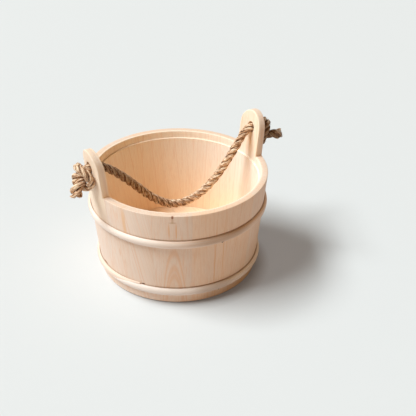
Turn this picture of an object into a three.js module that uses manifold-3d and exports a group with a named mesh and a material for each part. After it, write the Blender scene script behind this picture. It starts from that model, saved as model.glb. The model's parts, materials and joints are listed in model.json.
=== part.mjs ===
// Sauna bucket: glued staves, two half-round wooden hoops, a boarded floor and a knotted rope handle.
// Millimetres, +Z up. The origin is the centre of the foot, and +X runs through the right ear's rope hole.

import * as THREE from 'three';
import { mergeVertices } from 'three/addons/utils/BufferGeometryUtils.js';
import Module from 'manifold-3d';

// Staved body, a cone that opens upwards
const RIM_DIAMETER = 260;
const BASE_DIAMETER = 230;
const BODY_HEIGHT = 153;
const WALL = 13;
const RIM_WALL = 10.5;
const RIM_BAND = 10.4;
const FOOT_CHAMFER = 2;

// Stave widths along the rim, anticlockwise from the right ear and then from the left one.
// Each run is stretched to close its half of the circle.
const BACK_STAVE_WIDTHS = [51, 41, 46, 52, 57, 53, 54];
const FRONT_STAVE_WIDTHS = [37, 39, 57, 55, 48, 57, 61];

// Ears: a round-topped tongue on two opposite staves, bored for the rope
const EAR_WIDTH = 50;
const EAR_RISE = 62;
const EAR_SHOULDER = 1;
const ROPE_HOLE_DIAMETER = 15;

// Floor: edge-joined boards whose tongue sits in a groove cut round the staves
const FLOOR_TOP = 25;
const FLOOR_THICKNESS = 12;
const FLOOR_TONGUE = 7;
const FLOOR_BEVEL = 4;
const GROOVE_DEPTH = 4;
const FLOOR_BOARD_COUNT = 3;
const DOWEL_DIAMETER = 6;
const DOWEL_LENGTH = 28;
const DOWEL_SPACING = 90;

// Hoops: half-round strips whose ends meet in a long slanting scarf
const UPPER_HOOP_HEIGHT = 105.6;
const LOWER_HOOP_HEIGHT = 21.1;
const HOOP_WIDTH = 12.4;
const HOOP_DEPTH = 5;
const SCARF_LENGTH = 70;
const SCARF_GAP = 0.4;
const SCARF_OVERRUN = 10;
const UPPER_SCARF_ANGLE = 131;
const LOWER_SCARF_ANGLE = 198;

// Brads: headless pins near each hoop's lower edge, halfway between the ears
const BRAD_DIAMETER = 2.2;
const BRAD_LENGTH = 9;
const BRAD_DROP = 4.3;
const BRAD_SINK = 0.4;

// Rope: one length with a stopper knot outside each ear, drawn thinner where the knot is tight
const ROPE_DIAMETER = 12;
const KNOT_ROPE_DIAMETER = 9;

// Gaps between neighbouring pieces
const CLEARANCE = 0.3;

// Facets, and the points on which the gap between a knot's turns is measured
const ROUND_SEGMENTS = 96;
const HOOP_ARC_SEGMENTS = 6;
const EAR_ARC_SEGMENTS = 20;
const PIN_SEGMENTS = 12;
const ROPE_SIDES = 8;
const SPAN_STEPS = 30;
const KNOT_STEPS = 52;
const GAP_POINTS_PER_DIAMETER = 12;
const SAME_TURN_DIAMETERS = 1.6;

// Route of the rope between the ears, as distance from the middle and height against the rope holes
const SPAN_ROUTE = [
  [-131, 0], [-126, 0], [-119, -1.5], [-111, -6], [-101, -13], [-90, -22.5], [-77, -35.5], [-63, -50.5],
  [-49, -65.5], [-36, -77.5], [-22, -87.5], [-8, -94], [5, -96], [18, -95], [31, -91.5], [44, -85], [57, -75.5],
  [69, -63.5], [80, -50.5], [90, -37.5], [98, -26], [104.5, -16.5], [111, -8], [118.5, -2], [126, 0], [131, 0],
];

// Turns of the stopper knot, as distance out from the ear's face, towards the front, and up from the hole
const KNOT_TURNS = [
  [4.5, -0.5, -1.2], [9, -1.5, -4], [13.8, -4.4, -7.4], [18, -8, -11.6], [19, -9, -17.5], [16, -5.8, -23.8],
  [10.5, 0, -26.8], [7, 6.5, -24], [5.4, 11, -17.5], [6, 12.3, -11], [8, 12, -5], [11, 9.5, 0.8], [13.5, 4.5, 4.3],
  [14.3, -1.5, 4.6], [13.3, -7.9, 2.2], [10.8, -12.4, -2.8], [8.2, -13, -9], [7.3, -9.3, -14.5], [10, -3, -16.3],
];
const RIGHT_TAIL = [[15, 2.8, -15.9], [20.5, 6.3, -14.5], [27.5, 9.5, -13.5], [36, 12, -13.5]];
const LEFT_TAIL = [[14.5, 2.6, -16], [19.5, 5.3, -16.5], [23.5, 6.8, -19.5], [26.3, 7, -24.3], [28, 7, -30]];

// Shapes that follow from the sizes above
const flare = (RIM_DIAMETER - BASE_DIAMETER) / 2 / BODY_HEIGHT;
const outside = (height) => BASE_DIAMETER / 2 + flare * height;
const wallInside = (height) => outside(height) - WALL;
const bandInside = (height) => outside(height) - RIM_WALL;
const bandFoot = BODY_HEIGHT - RIM_BAND;
const grooveTop = FLOOR_TOP + CLEARANCE;
const grooveFoot = FLOOR_TOP - FLOOR_TONGUE - CLEARANCE;
const earTop = BODY_HEIGHT + EAR_RISE;
const holeHeight = earTop - EAR_WIDTH / 2;
const earHalfAngle = Math.asin((EAR_WIDTH / 2 + EAR_SHOULDER) / bandInside(bandFoot));
const floorRadius = wallInside(grooveTop) + GROOVE_DEPTH - CLEARANCE;
const boardWidth = 2 * floorRadius / FLOOR_BOARD_COUNT;
const hoops = [
  { name: 'upper_hoop', height: UPPER_HOOP_HEIGHT, scarfAngle: UPPER_SCARF_ANGLE },
  { name: 'lower_hoop', height: LOWER_HOOP_HEIGHT, scarfAngle: LOWER_SCARF_ANGLE },
];
const bradSides = [{ name: 'front', turn: -Math.PI / 2 }, { name: 'back', turn: Math.PI / 2 }];
const halfCircle = Math.PI;
const pastEverything = RIM_DIAMETER + BASE_DIAMETER;

// Materials
const pine = new THREE.MeshStandardMaterial({ color: '#e6cba8', roughness: 0.62, metalness: 0 });
const palePine = new THREE.MeshStandardMaterial({ color: '#ecd9bd', roughness: 0.6, metalness: 0 });
const beech = new THREE.MeshStandardMaterial({ color: '#cfa878', roughness: 0.6, metalness: 0 });
const darkSteel = new THREE.MeshStandardMaterial({ color: '#4a3b30', roughness: 0.5, metalness: 0.8 });
const jute = new THREE.MeshStandardMaterial({ color: '#a8845c', roughness: 0.9, metalness: 0 });

const bucket = new THREE.Group();
const wasm = await Module();
wasm.setup();

// Solid for cutting and joining, from a closed geometry
function solidOf(geometry) {
  const bare = geometry.clone();
  bare.deleteAttribute('normal');
  bare.deleteAttribute('uv');
  const merged = mergeVertices(bare);
  return new wasm.Manifold(new wasm.Mesh({
    numProp: 3,
    vertProperties: Float32Array.from(merged.attributes.position.array),
    triVerts: Uint32Array.from(merged.index.array),
  }));
}

// Named piece from a solid or a geometry
function addPiece(name, shape, material) {
  let geometry = shape;
  if (!shape.isBufferGeometry) {
    const cut = shape.getMesh();
    geometry = new THREE.BufferGeometry();
    geometry.setAttribute('position', new THREE.BufferAttribute(cut.vertProperties, 3));
    geometry.setIndex(new THREE.BufferAttribute(cut.triVerts, 1));
    geometry.computeVertexNormals();
  }
  const piece = new THREE.Mesh(geometry, material);
  piece.name = name;
  bucket.add(piece);
}

// Ring or disc turned about the vertical axis from [radius, height] corners
function turned(corners, segments) {
  const profile = corners.map(([radius, height]) => new THREE.Vector2(radius, height));
  const geometry = new THREE.LatheGeometry(profile, segments);
  geometry.rotateX(Math.PI / 2);
  return solidOf(geometry);
}

// Round pin lying along X, centred on its middle
function pinAlongX(diameter, length) {
  const geometry = new THREE.CylinderGeometry(diameter / 2, diameter / 2, length, PIN_SEGMENTS);
  geometry.rotateZ(Math.PI / 2);
  return geometry;
}

// Closed profile of the staves, as [radius, height] corners, up to the given top
function staveProfile(top) {
  const corners = [
    [outside(0) - FOOT_CHAMFER, 0],
    [outside(FOOT_CHAMFER), FOOT_CHAMFER],
    [outside(top), top],
    [bandInside(top), top],
    [bandInside(bandFoot), bandFoot],
    [wallInside(bandFoot), bandFoot],
    [wallInside(grooveTop), grooveTop],
    [wallInside(grooveTop) + GROOVE_DEPTH, grooveTop],
    [wallInside(grooveTop) + GROOVE_DEPTH, grooveFoot],
    [wallInside(grooveFoot), grooveFoot],
    [wallInside(FOOT_CHAMFER), FOOT_CHAMFER],
    [wallInside(0) + FOOT_CHAMFER, 0],
  ];
  return [...corners, corners[0]];
}

// Upright prism between two seams, half a clearance inside each
function sector(from, to) {
  const half = (to - from) / 2;
  const along = (angle, length) => new THREE.Vector2(length, 0).rotateAround(new THREE.Vector2(), angle);
  const apex = along(from + half, CLEARANCE / 2 / Math.sin(half));
  const outline = [
    apex,
    along(from, pastEverything).add(apex),
    along(from + half, pastEverything / Math.cos(half)).add(apex),
    along(to, pastEverything).add(apex),
  ];
  const options = { depth: BODY_HEIGHT, bevelEnabled: false };
  return solidOf(new THREE.ExtrudeGeometry(new THREE.Shape(outline), options));
}

// Pin through a hoop into its stave, at one of the brad positions
function bradPin(hoop, side, diameter, length) {
  const height = hoop.height - BRAD_DROP;
  const rise = BRAD_DROP / (HOOP_WIDTH / 2);
  const surface = outside(height) + CLEARANCE + HOOP_DEPTH * Math.sqrt(1 - rise * rise);
  const geometry = pinAlongX(diameter, length);
  geometry.translate(surface - BRAD_SINK - BRAD_LENGTH / 2, 0, height);
  geometry.rotateZ(side.turn);
  return geometry;
}

// Hole for a brad, open past the face of the hoop
function bradHole(hoop, side) {
  const length = BRAD_LENGTH + 2 * CLEARANCE + 2 * BRAD_SINK;
  return solidOf(bradPin(hoop, side, BRAD_DIAMETER + 2 * CLEARANCE, length));
}

// Staves between the ears
function buildStaves() {
  let blank = turned(staveProfile(BODY_HEIGHT), ROUND_SEGMENTS);
  for (const hoop of hoops) {
    for (const side of bradSides) {
      blank = blank.subtract(bradHole(hoop, side));
    }
  }
  const runs = [
    { name: 'back', start: earHalfAngle, widths: BACK_STAVE_WIDTHS },
    { name: 'front', start: halfCircle + earHalfAngle, widths: FRONT_STAVE_WIDTHS },
  ];
  for (const run of runs) {
    const total = run.widths.reduce((sum, width) => sum + width, 0);
    const anglePerWidth = (halfCircle - 2 * earHalfAngle) / total;
    let seam = run.start;
    run.widths.forEach((width, index) => {
      const next = seam + width * anglePerWidth;
      addPiece(`stave_${run.name}_${index + 1}`, blank.intersect(sector(seam, next)), pine);
      seam = next;
    });
  }
}

// Ear staves: the same section carried up past the rim, cut to a round-topped tongue and bored
function buildEarStaves() {
  const blank = turned(staveProfile(earTop), ROUND_SEGMENTS);
  const tongue = new THREE.Shape();
  tongue.moveTo(EAR_WIDTH / 2, bandFoot);
  tongue.lineTo(EAR_WIDTH / 2, holeHeight);
  tongue.absarc(0, holeHeight, EAR_WIDTH / 2, 0, Math.PI, false);
  tongue.lineTo(-EAR_WIDTH / 2, bandFoot);
  const prism = new THREE.ExtrudeGeometry(tongue, {
    depth: pastEverything,
    bevelEnabled: false,
    curveSegments: EAR_ARC_SEGMENTS,
  });
  prism.rotateX(Math.PI / 2);
  prism.rotateZ(Math.PI / 2);
  const outline = sector(-earHalfAngle, earHalfAngle).add(solidOf(prism));
  const bore = new THREE.CylinderGeometry(
    ROPE_HOLE_DIAMETER / 2, ROPE_HOLE_DIAMETER / 2, pastEverything, EAR_ARC_SEGMENTS);
  bore.rotateZ(Math.PI / 2);
  bore.translate(pastEverything / 2, 0, holeHeight);
  const stave = blank.intersect(outline).subtract(solidOf(bore));
  addPiece('ear_stave_right', stave, pine);
  addPiece('ear_stave_left', stave, pine);
  bucket.children.at(-1).rotation.z = halfCircle;
}

// Floor boards and the dowels hidden in their joints
function buildFloor() {
  const foot = FLOOR_TOP - FLOOR_THICKNESS;
  const lip = wallInside(grooveFoot) - CLEARANCE;
  const disc = turned([
    [0, foot],
    [lip - FLOOR_BEVEL, foot],
    [lip, FLOOR_TOP - FLOOR_TONGUE],
    [floorRadius, FLOOR_TOP - FLOOR_TONGUE],
    [floorRadius, FLOOR_TOP],
    [0, FLOOR_TOP],
  ], ROUND_SEGMENTS);
  const dowelHeight = FLOOR_TOP - FLOOR_THICKNESS / 2;
  const places = [];
  for (let joint = 1; joint < FLOOR_BOARD_COUNT; joint += 1) {
    for (const end of [-1, 1]) {
      places.push([joint * boardWidth - floorRadius, end * DOWEL_SPACING / 2, dowelHeight]);
    }
  }
  let bored = disc;
  for (const place of places) {
    const hole = pinAlongX(DOWEL_DIAMETER + 2 * CLEARANCE, DOWEL_LENGTH + 2 * CLEARANCE);
    bored = bored.subtract(solidOf(hole.translate(...place)));
  }
  for (let board = 0; board < FLOOR_BOARD_COUNT; board += 1) {
    const strip = new THREE.BoxGeometry(boardWidth - CLEARANCE, pastEverything, pastEverything);
    strip.translate((board + 0.5) * boardWidth - floorRadius, 0, dowelHeight);
    addPiece(`floor_board_${board + 1}`, bored.intersect(solidOf(strip)), palePine);
  }
  places.forEach((place, index) => {
    const dowel = pinAlongX(DOWEL_DIAMETER, DOWEL_LENGTH);
    addPiece(`floor_dowel_${index + 1}`, dowel.translate(...place), beech);
  });
}

// Hoops, each parted by its scarf, and the brads that pin them
function buildHoops() {
  for (const hoop of hoops) {
    const corners = [];
    for (let step = 0; step <= HOOP_ARC_SEGMENTS; step += 1) {
      const turn = Math.PI * (step / HOOP_ARC_SEGMENTS - 0.5);
      const height = hoop.height + HOOP_WIDTH / 2 * Math.sin(turn);
      corners.push([outside(height) + CLEARANCE + HOOP_DEPTH * Math.cos(turn), height]);
    }
    let ring = turned([...corners, corners[0]], ROUND_SEGMENTS);
    const slit = new THREE.BoxGeometry(SCARF_LENGTH, SCARF_LENGTH + 2 * SCARF_OVERRUN, SCARF_GAP);
    slit.rotateX(Math.atan2(HOOP_WIDTH, SCARF_LENGTH));
    slit.translate(outside(hoop.height), 0, hoop.height);
    slit.rotateZ(THREE.MathUtils.degToRad(hoop.scarfAngle));
    ring = ring.subtract(solidOf(slit));
    for (const side of bradSides) {
      ring = ring.subtract(bradHole(hoop, side));
      addPiece(`${hoop.name}_brad_${side.name}`, bradPin(hoop, side, BRAD_DIAMETER, BRAD_LENGTH), darkSteel);
    }
    addPiece(hoop.name, ring, palePine);
  }
}

// Tube of rope through a list of points
function ropeAlong(points, diameter, steps) {
  const corners = [];
  for (let side = 0; side < ROPE_SIDES; side += 1) {
    const turn = 2 * Math.PI * side / ROPE_SIDES;
    corners.push(new THREE.Vector2(Math.cos(turn), Math.sin(turn)).multiplyScalar(diameter / 2));
  }
  const route = new THREE.CatmullRomCurve3(points);
  return new THREE.ExtrudeGeometry(new THREE.Shape(corners), { steps, extrudePath: route });
}

// Least gap between turns of a rope that lie further apart along it than they are thick
function printLeastGap(name, points, diameter) {
  const route = new THREE.CatmullRomCurve3(points);
  const count = Math.ceil(route.getLength() / diameter * GAP_POINTS_PER_DIAMETER);
  const samples = route.getSpacedPoints(count);
  const sameTurn = Math.ceil(SAME_TURN_DIAMETERS * GAP_POINTS_PER_DIAMETER);
  let least = Infinity;
  samples.forEach((here, index) => {
    for (let other = index + sameTurn; other < samples.length; other += 1) {
      least = Math.min(least, here.distanceTo(samples[other]));
    }
  });
  console.log(`${name}: least gap between turns ${(least - diameter).toFixed(2)} mm`);
}

// Rope: the hanging span and the two knots with their tails
function buildRope() {
  const span = SPAN_ROUTE.map(([x, height]) => new THREE.Vector3(x, 0, holeHeight + height));
  addPiece('rope_span', ropeAlong(span, ROPE_DIAMETER, SPAN_STEPS), jute);
  const lean = Math.atan(flare);
  const face = outside(holeHeight);
  const spanEnd = SPAN_ROUTE.at(-1)[0] + CLEARANCE;
  const ends = [{ name: 'right', sign: 1, tail: RIGHT_TAIL }, { name: 'left', sign: -1, tail: LEFT_TAIL }];
  for (const end of ends) {
    const turns = [...KNOT_TURNS, ...end.tail].map(([out, front, up]) => new THREE.Vector3(
      end.sign * (face + out * Math.cos(lean) + up * Math.sin(lean)),
      -front,
      holeHeight - out * Math.sin(lean) + up * Math.cos(lean),
    ));
    const inHole = [spanEnd, (spanEnd + face) / 2, face].map(
      (x) => new THREE.Vector3(end.sign * x, 0, holeHeight));
    const points = [...inHole, ...turns];
    const name = `rope_knot_${end.name}`;
    printLeastGap(name, points, KNOT_ROPE_DIAMETER);
    addPiece(name, ropeAlong(points, KNOT_ROPE_DIAMETER, KNOT_STEPS), jute);
  }
}

buildStaves();
buildEarStaves();
buildFloor();
buildHoops();
buildRope();

export default bucket;
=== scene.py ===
import functools
import json
import math
import random

import bmesh
import bpy
from bpy.props import FloatProperty, FloatVectorProperty, IntProperty, PointerProperty
from mathutils import Matrix, Vector, noise


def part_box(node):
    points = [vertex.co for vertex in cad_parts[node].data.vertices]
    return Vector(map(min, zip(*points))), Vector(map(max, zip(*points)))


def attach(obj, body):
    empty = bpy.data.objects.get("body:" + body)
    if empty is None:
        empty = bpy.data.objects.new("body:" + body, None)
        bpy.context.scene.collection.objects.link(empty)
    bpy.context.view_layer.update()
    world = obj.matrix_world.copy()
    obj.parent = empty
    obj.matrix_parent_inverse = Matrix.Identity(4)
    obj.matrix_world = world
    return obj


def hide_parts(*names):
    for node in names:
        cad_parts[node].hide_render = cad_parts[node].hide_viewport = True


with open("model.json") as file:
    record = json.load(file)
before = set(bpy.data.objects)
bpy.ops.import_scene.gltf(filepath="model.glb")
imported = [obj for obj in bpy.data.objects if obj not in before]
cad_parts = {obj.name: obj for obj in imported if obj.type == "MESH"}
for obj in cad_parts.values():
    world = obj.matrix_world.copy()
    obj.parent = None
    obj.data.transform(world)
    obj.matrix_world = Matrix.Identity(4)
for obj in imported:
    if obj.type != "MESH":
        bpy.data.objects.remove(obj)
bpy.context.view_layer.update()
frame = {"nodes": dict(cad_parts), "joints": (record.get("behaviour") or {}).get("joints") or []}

bl_info = {
    "name": "Staved sauna bucket",
    "version": (1, 0, 0),
    "blender": (4, 5, 0),
    "location": "3D View > Sidebar > Bucket",
    "description": "Finishes a staved wooden bucket with a rope handle around its packed frame",
    "category": "Add Mesh",
}

MM = 0.001

# Gap between neighbouring CAD solids, and the distances within which points count as one and as level
CAD_GAP = 0.3 * MM
MERGE = 0.001 * MM
LEVEL = 0.01 * MM

# Photograph's width and height, and the camera's focal length, in pixels
IMAGE_SIZE = 416
FOCAL_PIXELS = 835.2

# Camera: metres from the rim's middle, degrees round from the front and up, and its yaw, pitch and roll
CAMERA_DISTANCE = 1.2
CAMERA_ROUND = -27.7
CAMERA_RISE = 29
CAMERA_TURNS = (-30.127, 58.278, 0.51)

# Soft box: the way that its light travels, its height, and its width and height as seen from the bucket, in
# degrees; its distance in metres; and its strength on a facing surface
KEY_TRAVEL = -24
KEY_RISE = 55.5
KEY_WIDTH = 36
KEY_HEIGHT = 16
KEY_DISTANCE = 60
KEY_LEVEL = 5.5

# Room light: its strength on the camera's side, the far side and overhead, and the way to its bright side
ROOM_LEVELS = (0.49, 0.42, 0.11)
ROOM_BRIGHT = (-0.45, -0.85, 0.3)

# Shade on the paper close in front of the foot: its middle, where it starts to fade and where it ends, in mm,
# the share of the paper's glow that is left in it, and the power of that share that is left of its colour
FOOT_SHADE = ((7, -14, 0), 104, 126)
SHADED_GLOW = 0.35
SHADE_CURVE = 0.4

# Route of the rope between the ears, as distance from the middle and height against the rope holes, in mm
SPAN_ROUTE = [
    (-131, 0), (-126, 0), (-119, -1.5), (-111, -6), (-101, -13), (-90, -22.5), (-77, -35.5), (-63, -50.5),
    (-49, -65.5), (-36, -77.5), (-22, -87.5), (-8, -94), (5, -96), (18, -95), (31, -91.5), (44, -85),
    (57, -75.5), (69, -63.5), (80, -50.5), (90, -37.5), (98, -26), (104.5, -16.5), (111, -8), (118.5, -2),
    (126, 0), (131, 0),
]

# Turns of the stopper knot: distance out from the ear's face, towards the front, and up from the hole, in mm
KNOT_TURNS = [
    (4.5, -0.5, -1.2), (9, -1.5, -4), (13.8, -4.4, -7.4), (18, -8, -11.6), (19, -9, -17.5), (16, -5.8, -23.8),
    (10.5, 0, -26.8), (7, 6.5, -24), (5.4, 11, -17.5), (6, 12.3, -11), (8, 12, -5), (11, 9.5, 0.8),
    (13.5, 4.5, 4.3), (14.3, -1.5, 4.6), (13.3, -7.9, 2.2), (10.8, -12.4, -2.8), (8.2, -13, -9),
    (7.3, -9.3, -14.5), (10, -3, -16.3),
]
RIGHT_TAIL = [(15, 2.8, -15.9), (20.5, 6.3, -14.5), (27.5, 9.5, -13.5), (36, 12, -13.5)]
LEFT_TAIL = [(14.5, 2.6, -16), (19.5, 5.3, -16.5), (23.5, 6.8, -19.5), (26.3, 7, -24.3), (28, 7, -30)]

# Painted shade on the rope's span where it hangs in shadow, as shares at its first end and at its last
SPAN_PAINTED_SHADE = (0.66, 0)

# Each knot: side, its sign along X, its tail, the length that opens into strands in mm, how far they open as
# a share of the rope's diameter, and the painted shade at its first end and at its last, for the ear's shadow
KNOTS = [("right", 1, RIGHT_TAIL, 16, 0.1, (0.62, 0.62)), ("left", -1, LEFT_TAIL, 20, 0.2, (0, 0))]

STAVES = [f"stave_{side}_{number}" for side in ("back", "front") for number in range(1, 8)]
HINGE = frame["joints"][0]

# Tint of the sawn ends
END_GRAIN = "#fffdfa"

# Share of the painted inner colours on faces inside the bucket, which draw the inside paler as painted light
PAINTED_INNER_SHARE = 0.75

# Painted shade line in the crevice where a hoop's upper edge meets the wall: how far above the edge it lies
# and reaches, in mm, colour and strength, which is less on the staves listed here
HOOP_SHADE_LINE = (0.9, 1.5, "#80502d", 0.66)
SHADE_LINE_STRENGTHS = {
    "stave_back_6": 0.45, "stave_back_7": 0.25, "ear_stave_left": 0.12, "stave_front_1": 0.15,
    "stave_front_2": 0.22, "stave_front_3": 0.45, "stave_front_5": 0.52, "stave_front_6": 0.45,
}

# Marks in the wood of some staves and of the hoops, and patches of painted shade and painted light among
# them:
# place across the board's face, into it and up it, or round the hoop from the front, into it and up from its
# middle, and reach, in mm, colour and strength
MARKS_AND_PAINTED_SHADING = {
    "ear_stave_left": [
        # Painted light on the ear's lit outer face, which is also a paler cream, and painted shade in the gap
        # above the lower hoop's scarf
        ((0, 0, 165), (60, 10, 80), "#ffe6c4", 0.62), ((-2, 0, 29.4), (9, 5, 2.2), "#9c5a2a", 0.85)],
    "stave_front_1": [
        ((15.5, 0, 128), (5, 20, 36), "#e2a86f", 0.5), ((0, 0, 72), (1.3, 6, 10), "#d99a62", 0.5)],
    # Painted shade in the gap at the tip of the lower hoop's scarf
    "stave_front_2": [((0, 0, 28.4), (3.4, 5, 1.9), "#5a3018", 0.9)],
    "stave_front_3": [
        ((1.5, 0, 145.5), (2.2, 3, 6), "#b98a5c", 0.45), ((1.5, 0, 142.4), (7, 3, 2), "#b58455", 0.4),
        ((1.5, 0.4, 151.4), (2.4, 2.8, 3.8), "#8a5030", 0.95),
        ((-3.4, 0, 128), (1.5, 9, 19), "#dd9b60", 0.6), ((6.2, 0, 128), (1.6, 9, 20), "#dd9b60", 0.65)],
    "stave_front_4": [
        ((8, 0, 75), (1.4, 9, 90), "#dd9b60", 0.45), ((20.5, 0, 80), (1.3, 9, 80), "#dd9b60", 0.4),
        # Painted shade at the foot, on the shaded side
        ((20, 0, 0), (45, 9, 40), "#6f4c30", 0.26)],
    # Painted shade at the foot of the staves on the shaded side
    "stave_front_5": [((0, 0, 0), (70, 9, 40), "#6f4c30", 0.32)],
    "stave_front_6": [((0, 0, 0), (70, 9, 40), "#6f4c30", 0.3)],
    "upper_hoop": [
        # Painted light on the hoop's lit left part, and painted shade on its upper half at the front
        ((-150, 0, 0), (110, 9, 30), "#eedbca", 0.75), ((0, 0, 2.5), (65, 9, 10), "#8f6744", 0.42),
        ((0, 0, -4.2), (3.6, 9, 1.3), "#3d2617", 0.9)],
    # The first mark is the hoop's own paler tint; the second is painted shade on the front of the hoop
    "lower_hoop": [((0, 0, 0), (600, 9, 30), "#e7d8ca", 0.75), ((-6, 0, 0), (42, 9, 14), "#8f6744", 0.36)],
}

# Growth lines picked out on two staves: radius of each line, the pith's place in mm, and its lean
FLAMES = {
    "stave_front_2": ((60.7, 56.9), (60, -20, 300), (-0.1765, 0.098)),
    "stave_front_3": ((20, 17.7, 16.6), (2, -12.56, 40), (0, 0.018)),
}

# Tone of the staves that face the camera, from cream to pink, of the ear staves and of the hoops
TONES = {
    "stave_front_1": 0.12, "stave_front_2": 0.18, "stave_front_3": 0.26, "stave_front_4": 0.48,
    "stave_front_5": 0.42, "stave_front_6": 0.2, "stave_front_7": 0.15,
}
EAR_TONE = 0.15
HOOP_TONE = 0.1


def node_middle(name):
    """Middle of a CAD node's box."""
    low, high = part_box(name)
    return (low + high) / 2


def node_size(name):
    """Lengths of a CAD node's box."""
    low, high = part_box(name)
    return high - low


def linear(code):
    """Linear RGB of an sRGB hex colour."""
    channels = [int(code[start:start + 2], 16) / 255 for start in (1, 3, 5)]
    return [c / 12.92 if c <= 0.04045 else ((c + 0.055) / 1.055) ** 2.4 for c in channels]


def length_property(name, description, default):
    """Property for a size in metres."""
    return FloatProperty(name=name, description=description, default=default, unit="LENGTH", precision=4)


def colour_property(name, description, code):
    """Property for a colour, from its sRGB hex value."""
    return FloatVectorProperty(name=name, description=description, default=linear(code), subtype="COLOR")


class BucketSizes(bpy.types.PropertyGroup):
    """Sizes of the bucket's pieces"""
    rim_diameter: length_property("Rim diameter", "Across the outside of the rim",
                                  -2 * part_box("stave_front_4")[0].y)
    base_diameter: length_property("Foot diameter", "Across the outside of the foot, without its chamfer",
                                   0.230)
    body_height: length_property("Body height", "From the foot to the rim", node_size("stave_front_4").z)
    wall: length_property("Wall", "Thickness of the staves below the rim", 0.013)
    rim_wall: length_property("Rim wall", "Thickness of the staves at the rim and of the ears", 0.0105)
    rim_band: length_property("Rim band", "Height of the thinner band inside the rim", 0.0104)
    foot_chamfer: length_property("Foot chamfer", "Bevel round the foot", 0.002)
    groove_top: length_property("Groove top", "Upper side of the groove for the floor",
                                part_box("floor_board_2")[1].z + CAD_GAP)
    groove_foot: length_property("Groove foot", "Lower side of the groove for the floor", 0.0177)
    groove_depth: length_property("Groove depth", "Depth of the groove for the floor", 0.004)
    arris: length_property("Arris", "Rounding of the rim's edges", 0.0009)
    seam: length_property("Seam", "Gap left between glued staves", 0.00008)
    ear_width: length_property("Ear width", "Across an ear", 0.050)
    ear_arris: length_property("Ear arris", "Rounding of the ears' edges", 0.0013)
    hole_height: length_property("Hole height", "Height of the rope holes", HINGE["pos_m"][2])
    hole_diameter: length_property("Hole diameter", "Bore of the rope holes", 0.015)
    hoop_width: length_property("Hoop width", "Height of a hoop's strip", node_size("upper_hoop").z)
    hoop_depth: length_property("Hoop depth", "How far a hoop stands out", 0.005)
    hoop_edge: length_property("Hoop edge", "How far a hoop's upper and lower edges stand out", 0.0011)
    scarf_length: length_property("Scarf length", "Length of the slanting joint in a hoop", 0.070)
    rope_diameter: length_property("Rope diameter", "Thickness of the rope", 0.012)
    knot_rope_diameter: length_property("Knotted rope diameter",
                                        "Thickness of the rope where a knot grips it", 0.0118)
    rope_lay: length_property("Lay", "Length in which a strand goes once round the rope", 0.036)


class BucketFinish(bpy.types.PropertyGroup):
    """Colours of the bucket's materials and of the stage"""
    early_wood: colour_property("Early wood", "Pale wood between the growth lines", "#e3c6ad")
    late_wood: colour_property("Late wood", "Darker growth lines", "#df9b60")
    sap_wood: colour_property("Sap wood", "Cream tint of the palest boards", "#e6d0bd")
    rose_wood: colour_property("Heart wood", "Pinkish tint of the warmest boards", "#eec6a2")
    # Inner colours are painted light and shade: the inside drawn paler than the outside, darker and more
    # orange low down
    inner_low_painted: colour_property("Inner wood, low", "Fresh boards near the bucket's floor", "#ffdeb6")
    inner_high_painted: colour_property("Inner wood, high", "Fresh boards below the rim", "#fff0dd")
    inner_ears_painted: colour_property("Inner ears", "Fresh face of the ears", "#ffe8c9")
    fibre: colour_property("Rope fibre", "Rope in the middle of its colours", "#c49068")
    fibre_pale: colour_property("Pale fibre", "Palest fibres of the rope", "#fadeba")
    # The dark fibre is also the colour of the painted shade in the grooves and on shaded stretches of rope
    fibre_dark_and_shade: colour_property("Dark fibre", "Rope down between its strands", "#462b17")
    iron: colour_property("Brad", "Dull dark wire", "#4a3a30")
    floor: colour_property("Floor", "Pale studio floor as the camera sees it", "#cdc4ba")
    floor_bounce: colour_property("Floor bounce", "Paper as it lights the bucket from below", "#d4d4d6")
    # A painted glow, seen only by the camera, that lifts the floor's shadow
    painted_floor_glow: colour_property("Floor glow", "Light that the paper lets through to the camera", "#4b626e")
    backdrop: colour_property("Backdrop", "Pale backdrop beyond the floor", "#eceeed")
    key_light: colour_property("Key light", "Colour of the soft box", "#dff1ff")
    room_light: colour_property("Room light", "Light from the room on the camera's side", "#ffce88")
    room_shade: colour_property("Room shade", "Light from the room on the far side", "#ffcb80")
    ceiling: colour_property("Ceiling", "Light from overhead", "#ffc890")
    seed: IntProperty(name="Seed", description="Start of every random choice", default=7)


def outside(sizes, height):
    """Radius of the bucket's outer face at a height."""
    flare = (sizes.rim_diameter - sizes.base_diameter) / 2 / sizes.body_height
    return sizes.base_diameter / 2 + flare * height


def turned(first, second, angle):
    """Direction at an angle from the first of two square directions towards the second."""
    return first * math.cos(angle) + second * math.sin(angle)


def add_node(tree, kind, values=()):
    """Add a node and set its properties and inputs, or link them where a node or a socket is given.

    A node stands for its first output that is in use, and a number in a ramp for a grey.
    """
    node = tree.nodes.new(f"ShaderNode{kind}")
    for key, value in dict(values).items():
        if isinstance(value, bpy.types.Node):
            value = next(socket for socket in value.outputs if socket.enabled)
        if key == "ramp":
            elements = node.color_ramp.elements
            while len(elements) < len(value):
                elements.new(1)
            for element, (place, colour) in zip(elements, value):
                element.position = place
                element.color = (*(colour if hasattr(colour, "__len__") else [colour] * 3), 1)
        elif isinstance(value, bpy.types.NodeSocket):
            tree.links.new(value, node.inputs[key])
        elif isinstance(key, str) and hasattr(node, key):
            setattr(node, key, value)
        else:
            socket = node.inputs[key]
            socket.default_value = (*value, 1) if socket.type == "RGBA" else value
    return node


def new_material(name):
    """Empty node material, and the function that adds nodes to it."""
    material = bpy.data.materials.new(name)
    material.use_nodes = True
    material.node_tree.nodes.clear()
    return material, functools.partial(add_node, material.node_tree)


def grain_of_attribute(add):
    """Grain coordinates in mm, with the pith on the Z axis, stored on the piece itself."""
    return add("Attribute", {"attribute_name": "grain"}).outputs["Vector"]


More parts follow.
